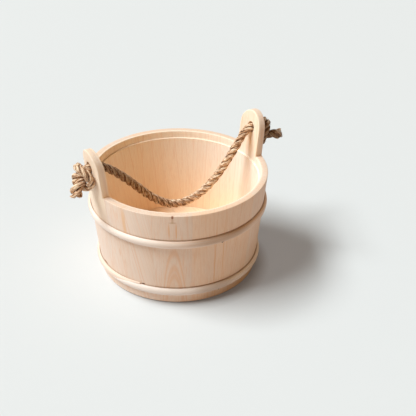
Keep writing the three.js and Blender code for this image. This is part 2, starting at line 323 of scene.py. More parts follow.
def grain_of_board(add):
    """Grain coordinates in mm for boards that lie flat along Y, with their pith well below them."""
    turn = add("Mapping", {
        "Vector": add("TexCoord").outputs["Object"], "Location": (21, 74, 0),
        "Rotation": (math.radians(90), 0, math.radians(3)), "Scale": (1 / MM, 1 / MM, 1 / MM)})
    return turn.outputs["Vector"]


def pine(name, grain_source, finish, ring=2.6, contrast=0.6, marks=(), lines=(), wander=4, inside=0):
    """Planed and sanded pine: pale early wood with thin darker growth lines, fine fibre and a soft sheen.

    The rings are solid, so faces, edges and end grain of a piece meet as in a real board. The ring spacing,
    the wander and the radius of lines picked out are in mm, and inside is 1 for a piece that is all inside.
    """
    material, add = new_material(name)
    grain = grain_source(add)
    # Slow wander of the growth lines, 26 mm across the grain and 190 mm along it
    wander_place = add("Mapping", {"Vector": grain, "Scale": (1 / 26, 1 / 26, 1 / 190)})
    wandering = add("TexNoise", {"Vector": wander_place, "Scale": 1})
    centred = add("VectorMath", {"operation": "SUBTRACT", 0: wandering.outputs["Color"], 1: (0.5, 0.5, 0.5)})
    pushed = add("VectorMath", {"operation": "MULTIPLY_ADD", 0: centred, 1: (wander, wander, 0), 2: grain})
    flat = add("VectorMath", {"operation": "MULTIPLY", 0: pushed, 1: (1, 1, 0)})
    radius = add("VectorMath", {"operation": "LENGTH", 0: flat})
    # Years differ, so the rings' places drift by up to 14 mm, over about 15 mm
    years = add("TexNoise", {"noise_dimensions": "1D", "W": radius, "Scale": 1 / 15, "Detail": 1})
    drift = add("Math", {"operation": "MULTIPLY_ADD", 0: years, 1: 14, 2: radius})
    count = add("Math", {"operation": "DIVIDE", 0: drift, 1: ring})
    phase = add("Math", {"operation": "FRACT", 0: count})
    line = add("ValToRGB", {"Fac": phase, "ramp": [(0, 0), (0.45, 0.08), (0.78, 0.45), (0.92, 1), (1, 0)]})
    # Some years leave a strong line and most a faint one
    year = add("Math", {"operation": "FLOOR", 0: count})
    strong = add("TexWhiteNoise", {"noise_dimensions": "1D", "W": year})
    weight = add("ValToRGB", {"Fac": strong, "ramp": [(0, 0.1), (0.55, 0.25), (0.86, 0.6), (1, 1)]})
    shown = add("Math", {"operation": "MULTIPLY", 0: line, 1: weight})
    late = add("Math", {"operation": "MULTIPLY", 0: shown, 1: contrast})
    # Growth lines picked out on a board, soft and about 1 mm wide
    for chosen in lines:
        gap = add("Math", {"operation": "SUBTRACT", 0: radius, 1: chosen})
        off = add("Math", {"operation": "ABSOLUTE", 0: gap})
        drawn = add("MapRange", {"interpolation_type": "SMOOTHSTEP", "Value": off, "From Min": 1.1,
                                 "From Max": 0.1, "To Max": 0.38})
        late = add("Math", {"operation": "MAXIMUM", 0: late, 1: drawn})
    # Fibre: streaks 0.7 mm wide and 40 mm long, drawn a little coarser than real fibre so that they show
    fibre_place = add("Mapping", {"Vector": grain, "Scale": (1 / 0.7, 1 / 0.7, 1 / 40)})
    fibre = add("TexNoise", {"Vector": fibre_place, "Scale": 1, "Detail": 3, "Roughness": 0.6})
    # Cloudy tint, 30 mm across and 120 mm along
    cloud_place = add("Mapping", {"Vector": grain, "Scale": (1 / 30, 1 / 30, 1 / 120)})
    cloud = add("TexNoise", {"Vector": cloud_place, "Scale": 1})
    tone = add("Attribute", {"attribute_name": "tone"})
    mixed = add("Math", {"operation": "MULTIPLY_ADD", 0: cloud, 1: 0.5, 2: tone.outputs["Fac"]})
    tint = add("ValToRGB", {"Fac": mixed, "ramp": [
        (0.1, finish.sap_wood), (0.5, finish.early_wood), (0.95, finish.rose_wood)]})
    # Faces inside the bucket, from 7 to 9.5 mm into the wall on, take paler colours than the outer faces as
    # painted light, darker and more orange low down as painted shade, and their colour changes with height,
    # as a share of 200 mm
    board = add("Attribute", {"attribute_name": "board"})
    into = add("SeparateXYZ", {0: board.outputs["Vector"]})
    inner_paint_share = add("MapRange", {"Value": into.outputs["Y"], "From Min": 7, "From Max": 9.5,
                             "To Min": PAINTED_INNER_SHARE * inside, "To Max": PAINTED_INNER_SHARE})
    level = add("Math", {"operation": "DIVIDE", 0: into.outputs["Z"], 1: 200})
    painted_inner_tint = add("ValToRGB", {"Fac": level, "ramp": [
        (0.2, finish.inner_low_painted), (0.68, finish.inner_high_painted), (0.82, finish.inner_ears_painted)]})
    inner = add("Mix", {"data_type": "RGBA", "Factor": inner_paint_share, "A": tint, "B": painted_inner_tint})
    # Broader streaks, 2.4 mm wide and 110 mm long, where the plane has cut late wood at a slant
    streak_place = add("Mapping", {"Vector": pushed, "Scale": (1 / 2.4, 1 / 2.4, 1 / 110)})
    streak = add("TexNoise", {"Vector": streak_place, "Scale": 1})
    slant = add("MapRange", {"Value": streak, "From Min": 0.48, "From Max": 0.8, "To Max": 0.4})
    dark_share = add("Math", {"operation": "MAXIMUM", 0: late, 1: slant})
    faint = add("MapRange", {"Value": inner_paint_share, "To Min": 1, "To Max": 0.65})
    drawn_share = add("Math", {"operation": "MULTIPLY", 0: dark_share, 1: faint})
    ringed = add("Mix", {"data_type": "RGBA", "Factor": drawn_share, "A": inner, "B": finish.late_wood})
    shade = add("MapRange", {"Value": fibre, "From Min": 0.25, "From Max": 0.75, "To Min": 0.95,
                             "To Max": 1.04})
    colour = add("VectorMath", {"operation": "SCALE", 0: ringed, "Scale": shade})
    # Sawn ends, which face up or down, are a touch warmer than the planed faces
    split = add("SeparateXYZ", {0: add("TexCoord").outputs["Normal"]})
    upright = add("Math", {"operation": "ABSOLUTE", 0: split.outputs["Z"]})
    sawn = add("MapRange", {"Value": upright, "From Min": 0.75, "From Max": 0.95})
    finished = add("Mix", {"data_type": "RGBA", "blend_type": "MULTIPLY", "Factor": sawn, "A": colour,
                           "B": linear(END_GRAIN)})
    # Marks, and the painted shade and light among them, fade from three tenths of their reach to its end
    for centre, radii, code, strength in marks:
        offset = add("VectorMath", {"operation": "SUBTRACT", 0: board.outputs["Vector"], 1: centre})
        scaled = add("VectorMath", {"operation": "DIVIDE", 0: offset, 1: radii})
        near = add("VectorMath", {"operation": "LENGTH", 0: scaled})
        dark = add("MapRange", {"interpolation_type": "SMOOTHSTEP", "Value": near, "From Min": 1,
                                "From Max": 0.3, "To Max": strength})
        finished = add("Mix", {"data_type": "RGBA", "Factor": dark, "A": finished, "B": linear(code)})
    rough = add("MapRange", {"Value": fibre, "To Min": 0.5, "To Max": 0.68})
    bump = add("Bump", {"Height": fibre, "Strength": 0.25, "Distance": 0.1 * MM})
    surface = add("BsdfPrincipled", {"Base Color": finished, "Roughness": rough, "Normal": bump, "IOR": 1.45,
                                     "Specular IOR Level": 0.35})
    add("OutputMaterial", {"Surface": surface})
    return material


def jute(name, finish):
    """Hard-laid bast fibre: pale flecked strands, with painted shade in the grooves between them and on
    stretches in shadow.
    """
    material, add = new_material(name)
    fibre = add("Attribute", {"attribute_name": "fibre"}).outputs["Vector"]
    depth = add("Attribute", {"attribute_name": "depth"}).outputs["Fac"]
    soil = add("Attribute", {"attribute_name": "soil"}).outputs["Fac"]
    # Bundles of fibre 1.7 mm wide and 5 mm long, drawn coarser than real ones so that they show
    place = add("Mapping", {"Vector": fibre, "Scale": (1 / 1.7, 1 / 5, 1)})
    streak = add("TexNoise", {"Vector": place, "Scale": 1, "Detail": 3, "Roughness": 0.7})
    # Patches 3 mm wide and 9 mm long
    patch_place = add("Mapping", {"Vector": fibre, "Scale": (1 / 3, 1 / 9, 1)})
    patch = add("TexNoise", {"Vector": patch_place, "Scale": 1})
    both = add("Math", {"operation": "MULTIPLY_ADD", 0: patch, 1: 0.45, 2: streak})
    tint = add("ValToRGB", {"Fac": both, "ramp": [
        (0.56, finish.fibre_dark_and_shade), (0.7, finish.fibre), (0.82, finish.fibre_pale)]})
    # Painted shade in the grooves between the strands, where the surface lies deep towards the rope's axis
    groove = add("MapRange", {"Value": depth, "From Min": 0.58, "From Max": 0.9, "To Min": 1, "To Max": 0})
    # Loose fibres cross the grooves in places
    crossed = add("MapRange", {"Value": streak, "From Min": 0.36, "From Max": 0.62, "To Min": 1,
                               "To Max": 0.3})
    groove_shade_share = add("Math", {"operation": "MULTIPLY", 0: groove, 1: crossed})
    laid = add("Mix", {"data_type": "RGBA", "Factor": groove_shade_share, "A": tint, "B": finish.fibre_dark_and_shade})
    # Painted shade over the stretches of rope that lie in shadow
    colour = add("Mix", {"data_type": "RGBA", "Factor": soil, "A": laid, "B": finish.fibre_dark_and_shade})
    bump = add("Bump", {"Height": streak, "Strength": 0.9, "Distance": 0.5 * MM})
    surface = add("BsdfPrincipled", {"Base Color": colour, "Normal": bump, "Roughness": 0.85, "IOR": 1.5,
                                     "Specular IOR Level": 0.2, "Sheen Weight": 0.1, "Sheen Roughness": 0.5})
    add("OutputMaterial", {"Surface": surface})
    return material


def iron_wire(name, finish):
    """Cut soft iron wire: dark and dull, with a faint mottled oxide."""
    material, add = new_material(name)
    # Oxide in spots 0.6 mm across
    place = add("TexCoord").outputs["Object"]
    oxide = add("TexNoise", {"Vector": place, "Scale": 1 / (0.6 * MM), "Detail": 3})
    dark = [0.5 * c for c in finish.iron]
    tint = add("ValToRGB", {"Fac": oxide, "ramp": [(0.3, dark), (0.75, finish.iron)]})
    rough = add("MapRange", {"Value": oxide, "To Min": 0.4, "To Max": 0.7})
    surface = add("BsdfPrincipled", {"Base Color": tint, "Roughness": rough, "Metallic": 0.8})
    add("OutputMaterial", {"Surface": surface})
    return material


def paper(name, finish):
    """Matt pale paper with a faint 40 mm mottle, a painted glow that lifts its shadow and painted shade by
    the foot.
    """
    material, add = new_material(name)
    place = add("TexCoord").outputs["Object"]
    mottle = add("TexNoise", {"Vector": place, "Scale": 1 / (40 * MM), "Detail": 1})
    dark = [0.995 * c for c in finish.floor]
    tint = add("ValToRGB", {"Fac": mottle, "ramp": [(0, dark), (1, finish.floor)]})
    # Painted contact shadow close in front of the foot: the paper's colour and its painted glow are darker
    # there
    middle, fades, ends = FOOT_SHADE
    beside = add("VectorMath", {"operation": "DISTANCE", 0: place, 1: [part * MM for part in middle]})
    clear = add("MapRange", {"Value": beside, "From Min": fades * MM, "From Max": ends * MM,
                             "To Min": SHADED_GLOW})
    share = add("Math", {"operation": "POWER", 0: clear, 1: SHADE_CURVE})
    shaded = add("VectorMath", {"operation": "SCALE", 0: tint, "Scale": share})
    camera = add("LightPath").outputs["Is Camera Ray"]
    seen = add("Mix", {"data_type": "RGBA", "Factor": camera, "A": finish.floor_bounce, "B": shaded})
    surface = add("BsdfDiffuse", {"Color": seen})
    # Painted glow seen only by the camera, which lifts the floor and its shadow, weaker in the painted
    # contact shadow
    through = add("Math", {"operation": "MULTIPLY", 0: camera, 1: clear})
    glow = add("Emission", {"Color": finish.painted_floor_glow, "Strength": through})
    lit = add("AddShader", {0: surface, 1: glow})
    add("OutputMaterial", {"Surface": lit})
    return material


def material_named(name, make, *details, **choices):
    """Material of that name, made on first use."""
    return bpy.data.materials.get(name) or make(name, *details, **choices)


def new_object(name, builder, material):
    """Object in the scene, made from a finished bmesh."""
    mesh = bpy.data.meshes.new(name)
    builder.to_mesh(mesh)
    builder.free()
    mesh.materials.append(material)
    made = bpy.data.objects.new(name, mesh)
    bpy.context.scene.collection.objects.link(made)
    return made


def finish_piece(name, builder, material, body, node, sharp=40):
    """Turn a finished bmesh into a smooth-shaded piece that stands for a CAD node and rides on a body."""
    bmesh.ops.recalc_face_normals(builder, faces=builder.faces)
    piece = new_object(name, builder, material)
    piece.data.shade_smooth()
    piece.data.set_sharp_from_angle(angle=math.radians(sharp))
    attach(piece, body)
    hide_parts(node)
    return piece


def ease_edges(node, material, width):
    """Give a CAD node its material and slightly rounded edges."""
    node.data.materials.clear()
    node.data.materials.append(material)
    node.modifiers.new("joined_faces", "WELD").merge_threshold = 2 * MERGE
    ease = node.modifiers.new("eased_edges", "BEVEL")
    ease.width = width
    ease.segments = 2
    ease.limit_method = "ANGLE"


def store_vectors(mesh, name, values):
    """Store one vector for each vertex as an attribute."""
    layer = mesh.attributes.new(name, "FLOAT_VECTOR", "POINT")
    layer.data.foreach_set("vector", [part for value in values for part in value])


def store_tone(mesh, tone):
    """Store the tone of a whole piece as an attribute."""
    layer = mesh.attributes.new("tone", "FLOAT", "POINT")
    layer.data.foreach_set("value", [tone] * len(mesh.vertices))


def store_grain(piece, sizes, middle_angle, pith, lean, tone):
    """Store the board's grain: mm coordinates with the pith on the Z axis, which leans against the board."""
    radius = outside(sizes, 0)
    grain = []
    board = []
    for vertex in piece.data.vertices:
        flat = Vector(vertex.co)
        flat.rotate(Matrix.Rotation(-middle_angle, 3, "Z"))
        height = flat.z / MM
        board.append((flat.y / MM, (outside(sizes, flat.z) - flat.xy.length) / MM, height))
        across = flat.y / MM - pith[0] - lean[0] * height
        through = (flat.x - radius) / MM - pith[1] - lean[1] * height
        grain.append((across, through, height + pith[2]))
    store_vectors(piece.data, "grain", grain)
    store_vectors(piece.data, "board", board)
    store_tone(piece.data, tone)


def smooth_route(points, spacing):
    """Evenly spaced points along a centripetal spline through the given points, and the spline's length."""
    steps = 24
    ends = [points[0] * 2 - points[1], *points, points[-1] * 2 - points[-2]]
    dense = []
    for before, start, end, after in zip(ends, ends[1:], ends[2:], ends[3:]):
        t1 = math.sqrt((start - before).length)
        t2 = t1 + math.sqrt((end - start).length)
        t3 = t2 + math.sqrt((after - end).length)
        for step in range(steps):
            t = t1 + (t2 - t1) * step / steps
            a1 = before.lerp(start, t / t1)
            a2 = start.lerp(end, (t - t1) / (t2 - t1))
            a3 = end.lerp(after, (t - t2) / (t3 - t2))
            b1 = a1.lerp(a2, t / t2)
            b2 = a2.lerp(a3, (t - t1) / (t3 - t1))
            dense.append(b1.lerp(b2, (t - t1) / (t2 - t1)))
    dense.append(points[-1])
    lengths = [0]
    for here, there in zip(dense, dense[1:]):
        lengths.append(lengths[-1] + (there - here).length)
    count = max(2, round(lengths[-1] / spacing))
    even = []
    index = 0
    for step in range(count + 1):
        target = lengths[-1] * step / count
        while index < len(dense) - 2 and lengths[index + 1] < target:
            index += 1
        share = (target - lengths[index]) / (lengths[index + 1] - lengths[index])
        even.append(dense[index].lerp(dense[index + 1], share))
    return even, lengths[-1]


def route_frames(points):
    """Tangent, normal and side at each point, carried along without twist."""
    frames = []
    normal = None
    for index in range(len(points)):
        ahead = points[min(index + 1, len(points) - 1)] - points[max(index - 1, 0)]
        tangent = ahead.normalized()
        if normal is None:
            normal = tangent.orthogonal()
        normal = (normal - tangent * normal.dot(tangent)).normalized()
        frames.append((tangent, normal, tangent.cross(normal)))
    return frames


class BUCKET_OT_stage(bpy.types.Operator):
    """Add the camera at the photograph's angle, the pale floor and the soft studio light"""
    bl_idname = "bucket.stage"
    bl_label = "Stage"

    # Distance from the middle of the floor to its sides, in metres
    floor_reach = 12

    def execute(self, context):
        finish = context.scene.bucket_finish
        self.add_camera(context.scene)
        builder = bmesh.new()
        bmesh.ops.create_grid(builder, x_segments=1, y_segments=1, size=self.floor_reach)
        floor = new_object("studio_floor", builder, paper("matt_paper_floor", finish))
        self.add_key(context.scene, finish)
        self.add_room(context.scene, finish)
        context.scene.view_settings.view_transform = "Standard"
        return {"FINISHED"}

    def add_camera(self, scene):
        camera = bpy.data.cameras.new("photo_camera")
        camera.sensor_width = 36
        camera.lens = FOCAL_PIXELS / IMAGE_SIZE * camera.sensor_width
        camera.clip_end = 100
        azimuth = math.radians(CAMERA_ROUND)
        elevation = math.radians(CAMERA_RISE)
        back = Vector((math.sin(azimuth) * math.cos(elevation), -math.cos(azimuth) * math.cos(elevation),
                       math.sin(elevation)))
        rim_centre = Vector((0, 0, scene.bucket_sizes.body_height))
        yaw, pitch, roll = (Matrix.Rotation(math.radians(turn), 4, axis)
                            for turn, axis in zip(CAMERA_TURNS, "ZXZ"))
        holder = bpy.data.objects.new("photo_camera", camera)
        holder.matrix_world = Matrix.Translation(rim_centre + CAMERA_DISTANCE * back) @ yaw @ pitch @ roll
        scene.collection.objects.link(holder)
        scene.camera = holder

    def add_key(self, scene, finish):
        """A broad soft box, far off to the picture's left and a little behind."""
        travel = math.radians(KEY_TRAVEL)
        rise = math.radians(KEY_RISE)
        direction = Vector((math.cos(travel) * math.cos(rise), math.sin(travel) * math.cos(rise),
                            -math.sin(rise)))
        key = bpy.data.lights.new("key_light", "AREA")
        key.shape = "RECTANGLE"
        key.size = 2 * KEY_DISTANCE * math.tan(math.radians(KEY_WIDTH / 2))
        key.size_y = 2 * KEY_DISTANCE * math.tan(math.radians(KEY_HEIGHT / 2))
        key.energy = KEY_LEVEL * math.pi * KEY_DISTANCE * KEY_DISTANCE
        key.color = finish.key_light
        lamp = bpy.data.objects.new("key_light", key)
        lamp.location = -direction * KEY_DISTANCE
        lamp.rotation_euler = direction.to_track_quat("-Z", "Y").to_euler()
        scene.collection.objects.link(lamp)

    def add_room(self, scene, finish):
        """Warm room light, stronger on the camera's side; what the camera sees is the pale backdrop."""
        world = bpy.data.worlds.new("studio_light")
        scene.world = world
        world.use_nodes = True
        world.node_tree.nodes.clear()
        add = functools.partial(add_node, world.node_tree)
        bright, dim, over = ROOM_LEVELS
        way = add("TexCoord").outputs["Generated"]
        side = add("VectorMath", {"operation": "DOT_PRODUCT", 0: way, 1: Vector(ROOM_BRIGHT).normalized()})
        share = add("MapRange", {"Value": side, "From Min": -0.6})
        room = add("Mix", {"data_type": "RGBA", "Factor": share, "A": [dim * c for c in finish.room_shade],
                           "B": [bright * c for c in finish.room_light]})
        height = add("SeparateXYZ", {0: way})
        high = add("MapRange", {"Value": height.outputs["Z"], "From Min": 0.35, "From Max": 0.95})
        room = add("Mix", {"data_type": "RGBA", "Factor": high, "A": room,
                           "B": [over * c for c in finish.ceiling]})
        ray = add("LightPath").outputs
        plain = add("Math", {"operation": "MAXIMUM", 0: ray["Is Camera Ray"], 1: ray["Is Transmission Ray"]})
        backdrop = add("Math", {"operation": "MAXIMUM", 0: plain, 1: ray["Is Glossy Ray"]})
        colour = add("Mix", {"data_type": "RGBA", "Factor": backdrop, "A": room, "B": finish.backdrop})
        add("OutputWorld", {"Surface": add("Background", {"Color": colour})})


class BUCKET_OT_rope(bpy.types.Operator):
    """Lay the three-strand rope: the hanging span and a stopper knot with a frayed tail outside each ear"""
    bl_idname = "bucket.rope"
    bl_label = "Rope"

    # Strands in the rope, yarns round a strand, sides of a strand's tube, and length of a step along it
    strands = 3
    yarns = 5
    sides = 24
    spacing = 1.1 * MM

    # Place and radius of a strand as shares of the rope's diameter, and how much an open end swells
    strand_reach = 0.262
    strand_radius = 0.242
    open_swell = 0.08

    # Ripple of the yarns and slow swelling of a strand, as shares of its radius, and the length of a swelling
    yarn_ripple = 0.09
    strand_swell = 0.08
    swell_length = 9 * MM

    # Steps that set the swelling and the colours of one strand apart from the next, and the loose fibres'
    # place in the colours
    swell_step = 7.3
    colour_step = 31.7
    hair_colour = 200

    # How fast the painted shade fades along the rope, so that it ends before the last end
    shade_fade = 1.8

    # Loose fibres on the span and on each knot: how many, their length and their radius at the foot in mm,
    # where they start as a share of the rope's diameter, how far out they count for shading, and how much
    # they lean outwards and sideways
    span_hairs = 700
    knot_hairs = 220
    hair_length = (3, 6)
    hair_radius = 0.16
    hair_foot = 0.44
    hair_depth = 0.95
    hair_outwards = (0.05, 0.35)
    hair_sideways = (-0.6, 0.6)

    # Fibres at the frayed end of each strand: how many, their length and their radius at the foot in mm, the
    # share of the strand's radius that they fill, and how much they spread
    tip_hairs = 60
    tip_length = (1.5, 3)
    tip_radius = 0.28
    tip_fill = 0.92
    tip_spread = (0, 0.35)

    def execute(self, context):
        sizes = context.scene.bucket_sizes
        self.seed = context.scene.bucket_finish.seed
        self.turn_length = sizes.rope_lay
        self.material = material_named("laid_jute_rope", jute, context.scene.bucket_finish)
        hole = Vector((0, 0, sizes.hole_height))
        span = [hole + Vector((across * MM, 0, up * MM)) for across, up in SPAN_ROUTE]
        piece, path, length = self.lay("rope_span", "rope_handle", span, sizes.rope_diameter, self.span_hairs,
                                       SPAN_PAINTED_SHADE)
        lean = math.atan(outside(sizes, 1) - outside(sizes, 0))
        face = outside(sizes, sizes.hole_height)
        span_end = span[-1].x + CAD_GAP
        for side, sign, tail, fray, splay, soil in KNOTS:
            bored = (span_end, (span_end + face) / 2, face)
            points = [Vector((sign * across, 0, sizes.hole_height)) for across in bored]
            for out, front, up in KNOT_TURNS + tail:
                points.append(Vector((
                    sign * (face + (out * math.cos(lean) + up * math.sin(lean)) * MM), -front * MM,
                    sizes.hole_height + (up * math.cos(lean) - out * math.sin(lean)) * MM)))
            piece, path, length = self.lay(f"rope_knot_{side}", "bucket", points, sizes.knot_rope_diameter,
                                           self.knot_hairs, soil, fray * MM, splay)
        return {"FINISHED"}

    def lay(self, node, body, points, diameter, hairs, soil, fray=0, splay=0):
        """One stretch of rope, whose last part, fray long, opens into its strands by a share of the diameter.

        Painted shade darkens it by a share at its first end, which fades to that at its last, both given as a
        pair.
        """
        name = f"{node}_laid"
        chance = random.Random(f"{self.seed} {name}")
        path, length = smooth_route(points, self.spacing)
        frames = route_frames(path)
        steps = len(path) - 1
        builder = bmesh.new()
        fibre = builder.verts.layers.float_vector.new("fibre")
        depth = builder.verts.layers.float.new("depth")
        painted_shade_layer = builder.verts.layers.float.new("soil")

        def strand_at(strand, index):
            """Centre, cross directions, heading and radius of a strand at a point of the route."""
            tangent, normal, side = frames[index]
            along = length * index / steps
            opened = max(0, 1 - (length - along) / fray) if fray else 0
            opened = opened * opened * (3 - 2 * opened)
            outwards = turned(normal, side, 2 * math.pi * (along / self.turn_length + strand / self.strands))
            reach = diameter * (self.strand_reach + splay * opened)
            radius = diameter * (self.strand_radius + self.open_swell * opened)
            slope = 2 * math.pi * reach / self.turn_length * (1 - opened)
            heading = (tangent + tangent.cross(outwards) * slope).normalized()
            return path[index] + outwards * reach, outwards, heading.cross(outwards), heading, radius

        def add_hair(foot, heading, reach, radius):
            """One loose fibre, a thin sliver that tapers to a quarter of its radius."""
            turn = heading.to_track_quat("Z", "Y").to_matrix().to_4x4()
            made = bmesh.ops.create_cone(
                builder, cap_ends=True, segments=3, radius1=radius, radius2=0.25 * radius, depth=reach,
                matrix=Matrix.Translation(foot + heading * reach / 2) @ turn)
            shift = chance.uniform(0, 50)
            for vert in made["verts"]:
                vert[fibre] = (shift, shift, self.hair_colour)
                vert[depth] = self.hair_depth
                vert[painted_shade_layer] = soil[1]

        for strand in range(self.strands):
            grid = bmesh.ops.create_grid(builder, x_segments=self.sides, y_segments=steps, size=1)["verts"]
            for vert in grid:
                around = (vert.co.x + 1) * math.pi
                index = round((vert.co.y + 1) / 2 * steps)
                along = length * index / steps
                centre, outwards, sideways, _, radius = strand_at(strand, index)
                yarn = math.cos(self.yarns * around + 2 * math.pi * along / self.turn_length * self.yarns)
                swell = noise.noise(Vector((along / self.swell_length, strand * self.swell_step, 2)))
                reach = radius * (1 + self.yarn_ripple * yarn + self.strand_swell * swell)
                vert.co = centre + turned(outwards, sideways, around) * reach
                vert[fibre] = (around * radius / MM, along / MM, strand * self.colour_step)
                vert[depth] = (vert.co - path[index]).length / (diameter / 2)
                vert[painted_shade_layer] = max(soil[1], soil[0] * (1 - self.shade_fade * index / steps))
            bmesh.ops.remove_doubles(builder, verts=grid, dist=5 * MERGE)
        bmesh.ops.holes_fill(builder, edges=builder.edges, sides=self.sides)
        for _ in range(hairs):
            index = chance.randrange(4, steps - 4)
            tangent, normal, side = frames[index]
            outwards = turned(normal, side, chance.uniform(0, 2 * math.pi))
            heading = (tangent * chance.choice((-1, 1)) + outwards * chance.uniform(*self.hair_outwards)
                       + normal.cross(outwards) * chance.uniform(*self.hair_sideways)).normalized()
            foot = path[index] + outwards * self.hair_foot * diameter
            add_hair(foot, heading, chance.uniform(*self.hair_length) * MM, self.hair_radius * MM)
        for strand in range(self.strands if fray else 0):
            centre, outwards, sideways, tangent, radius = strand_at(strand, steps)
            for _ in range(self.tip_hairs):
                spoke = turned(outwards, sideways, chance.uniform(0, 2 * math.pi))
                reach = radius * self.tip_fill * math.sqrt(chance.random())
                foot = centre + spoke * reach - tangent * MM
                heading = (tangent + spoke * chance.uniform(*self.tip_spread)).normalized()
                add_hair(foot, heading, chance.uniform(*self.tip_length) * MM, self.tip_radius * MM)
        piece = finish_piece(name, builder, self.material, body, node, sharp=60)
        return piece, path, length


def stave_wood(name, sizes, finish):
    """Wood of a stave, with a painted shade line above each hoop, and the marks, painted shading and growth
    lines of its own board.
    """
    above, reach, code, strength = HOOP_SHADE_LINE
    marks = []
    # A painted shade line in the crevice above each hoop's upper edge
    for hoop in ("upper_hoop", "lower_hoop"):
        edge = (node_middle(hoop).z + sizes.hoop_width / 2) / MM
        marks.append(((0, 0, edge + above), (900, 5, reach), code, SHADE_LINE_STRENGTHS.get(name, strength)))
    look = {"contrast": 0.8}
    if name in FLAMES:
        look = {"contrast": 0.4, "lines": FLAMES[name][0], "wander": 1.2}
    own_board = name in MARKS_AND_PAINTED_SHADING or name in SHADE_LINE_STRENGTHS
    return material_named(f"planed_pine_{name if own_board else 'staves'}", pine, grain_of_attribute, finish,
                          marks=marks + MARKS_AND_PAINTED_SHADING.get(name, []), **look)


def stave_span(name, sizes):
    """Angles between which a stave lies, from its CAD node's outermost corners, widened to a glued seam."""
    vertices = frame["nodes"][name].data.vertices
    corners = [(v.co.xy.length, math.atan2(v.co.y, v.co.x) % math.tau) for v in vertices]
    widest = max(radius for radius, _ in corners)
    angles = [angle for radius, angle in corners if radius > widest - 0.2 * MM]
    slack = (CAD_GAP - sizes.seam) / 2 / widest
    return min(angles) - slack, max(angles) + slack


class BUCKET_OT_staves(bpy.types.Operator):
    """Build the plain staves between the ears"""
    bl_idname = "bucket.staves"
    bl_label = "Staves"

    # Angle that one flat step of the curved faces takes up
    facet = math.radians(1.25)

    def execute(self, context):
        sizes = context.scene.bucket_sizes
        finish = context.scene.bucket_finish
        for name in STAVES:
            chance = random.Random(f"{finish.seed} {name}")
            start, end = stave_span(name, sizes)
            builder = bmesh.new()
            self.sweep(builder, sizes, start, end)
            wood = stave_wood(name, sizes, finish)
            piece = finish_piece(f"pine_{name}", builder, wood, "bucket", name)
            # The pith lies 40 to 120 mm to one side and 15 to 60 mm into the bucket
            pith = (chance.choice((-1, 1)) * chance.uniform(40, 120), -chance.uniform(15, 60),
                    chance.uniform(0, 900))
            lean = (chance.uniform(-0.02, 0.02), chance.uniform(-0.012, 0.012))
            tone = TONES.get(name, chance.uniform(0.1, 0.36))
            if name in FLAMES:
                pith, lean = FLAMES[name][1:]
            store_grain(piece, sizes, (start + end) / 2, pith, lean, tone)
        return {"FINISHED"}

    def sweep(self, builder, sizes, start, end):
        """Turn the stave's section about the bucket's axis, close its ends and round the rim's edges."""
        top = sizes.body_height
        band_foot = top - sizes.rim_band

        def inside(height):
            return outside(sizes, height) - sizes.wall

        groove = inside(sizes.groove_top) + sizes.groove_depth
        corners = [
            (outside(sizes, 0) - sizes.foot_chamfer, 0),
            (outside(sizes, sizes.foot_chamfer), sizes.foot_chamfer),
            (outside(sizes, top), top),
            (outside(sizes, top) - sizes.rim_wall, top),
            (outside(sizes, band_foot) - sizes.rim_wall, band_foot),
            (inside(band_foot), band_foot),
            (inside(sizes.groove_top), sizes.groove_top),
            (groove, sizes.groove_top),
            (groove, sizes.groove_foot),
            (inside(sizes.groove_foot), sizes.groove_foot),
            (inside(sizes.foot_chamfer), sizes.foot_chamfer),
            (inside(0) + sizes.foot_chamfer, 0),
        ]
        verts = [builder.verts.new((radius * math.cos(start), radius * math.sin(start), height))
                 for radius, height in corners]
        edges = [builder.edges.new(pair) for pair in zip(verts, verts[1:] + verts[:1])]
        steps = max(6, round((end - start) / self.facet))
        bmesh.ops.spin(builder, geom=verts + edges, cent=(0, 0, 0), axis=(0, 0, 1), dvec=(0, 0, 0),
                       angle=end - start, steps=steps, use_merge=False, use_duplicate=False)
        bmesh.ops.holes_fill(builder, edges=[e for e in builder.edges if e.is_boundary], sides=len(corners))
        rim = [e for e in builder.edges if all(abs(v.co.z - top) < LEVEL for v in e.verts)
               and abs(e.verts[0].co.xy.length - e.verts[1].co.xy.length) < LEVEL]
        bmesh.ops.bevel(builder, geom=rim, offset=sizes.arris, offset_type="OFFSET", segments=3, profile=0.5,
                        affect="EDGES", material=-1)


